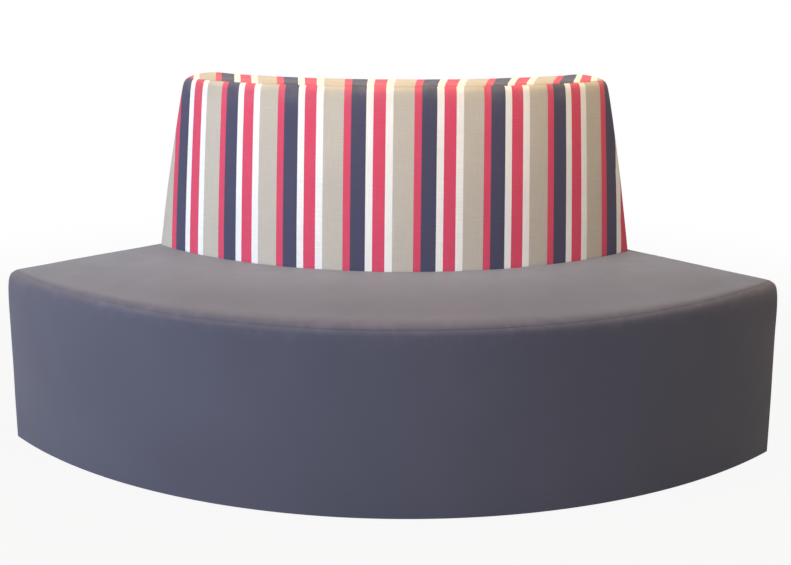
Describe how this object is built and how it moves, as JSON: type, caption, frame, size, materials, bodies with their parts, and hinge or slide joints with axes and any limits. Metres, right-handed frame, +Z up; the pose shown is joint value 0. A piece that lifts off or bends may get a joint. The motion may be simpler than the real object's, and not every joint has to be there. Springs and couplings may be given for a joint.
{
  "type": "upholstered banquette bench",
  "caption": "Outward-facing quarter-ring banquette bench: padded box seat down to the floor in grey vinyl, with a leaning curved back in striped fabric.",
  "frame": {"origin": "on the floor, in the middle of the box that the bench fills", "axes": "+X along the bench towards its right end, -Y the way the seat faces, +Z up"},
  "size_m": [1.896, 0.8484, 0.9039],
  "materials": {
    "seat_vinyl": "matt upholstery vinyl, dark blue-grey, fine grain",
    "back_fabric": "woven stripe in red, white, beige and navy",
    "foam": "cut upholstery foam",
    "wrap_foam": "thin upholstery foam",
    "dust_cloth": "black non-woven cloth",
    "plywood": "bare birch plywood",
    "bent_plywood": "bare bending plywood",
    "glide": "moulded nylon, matt",
    "fixing_steel": "zinc-plated steel"
  },
  "bodies": {
    "root": {"glides": "glide", "glide_nails": "fixing_steel", "dust_cloth": "dust_cloth", "base_board": "plywood", "front_skin": "bent_plywood", "rear_skin": "bent_plywood", "end_board_left": "plywood", "end_board_right": "plywood", "rib_left": "plywood", "rib_middle": "plywood", "rib_right": "plywood", "seat_deck": "plywood", "deck_screws": "fixing_steel", "back_riser": "plywood", "front_wrap_foam": "wrap_foam", "rear_wrap_foam": "wrap_foam", "end_wrap_foam_left": "wrap_foam", "end_wrap_foam_right": "wrap_foam", "seat_foam": "foam", "seat_cover_top": "seat_vinyl", "seat_cover_front": "seat_vinyl", "seat_cover_rear": "seat_vinyl", "seat_cover_end_left": "seat_vinyl", "seat_cover_end_right": "seat_vinyl", "back_bottom_rail": "plywood", "back_rib_left": "plywood", "back_rib_middle": "plywood", "back_rib_right": "plywood", "back_end_board_left": "plywood", "back_end_board_right": "plywood", "back_top_rail": "plywood", "back_screws": "fixing_steel", "back_front_skin": "bent_plywood", "back_rear_skin": "bent_plywood", "back_front_foam": "foam", "back_top_foam": "foam", "back_end_foam_left": "foam", "back_end_foam_right": "foam", "back_cover_front": "back_fabric", "back_cover_top": "back_fabric", "back_cover_rear": "back_fabric", "back_cover_end_left": "back_fabric", "back_cover_end_right": "back_fabric", "back_bolts": "fixing_steel", "bolt_washers": "fixing_steel", "tee_nuts": "fixing_steel"}
  },
  "joints": []
}
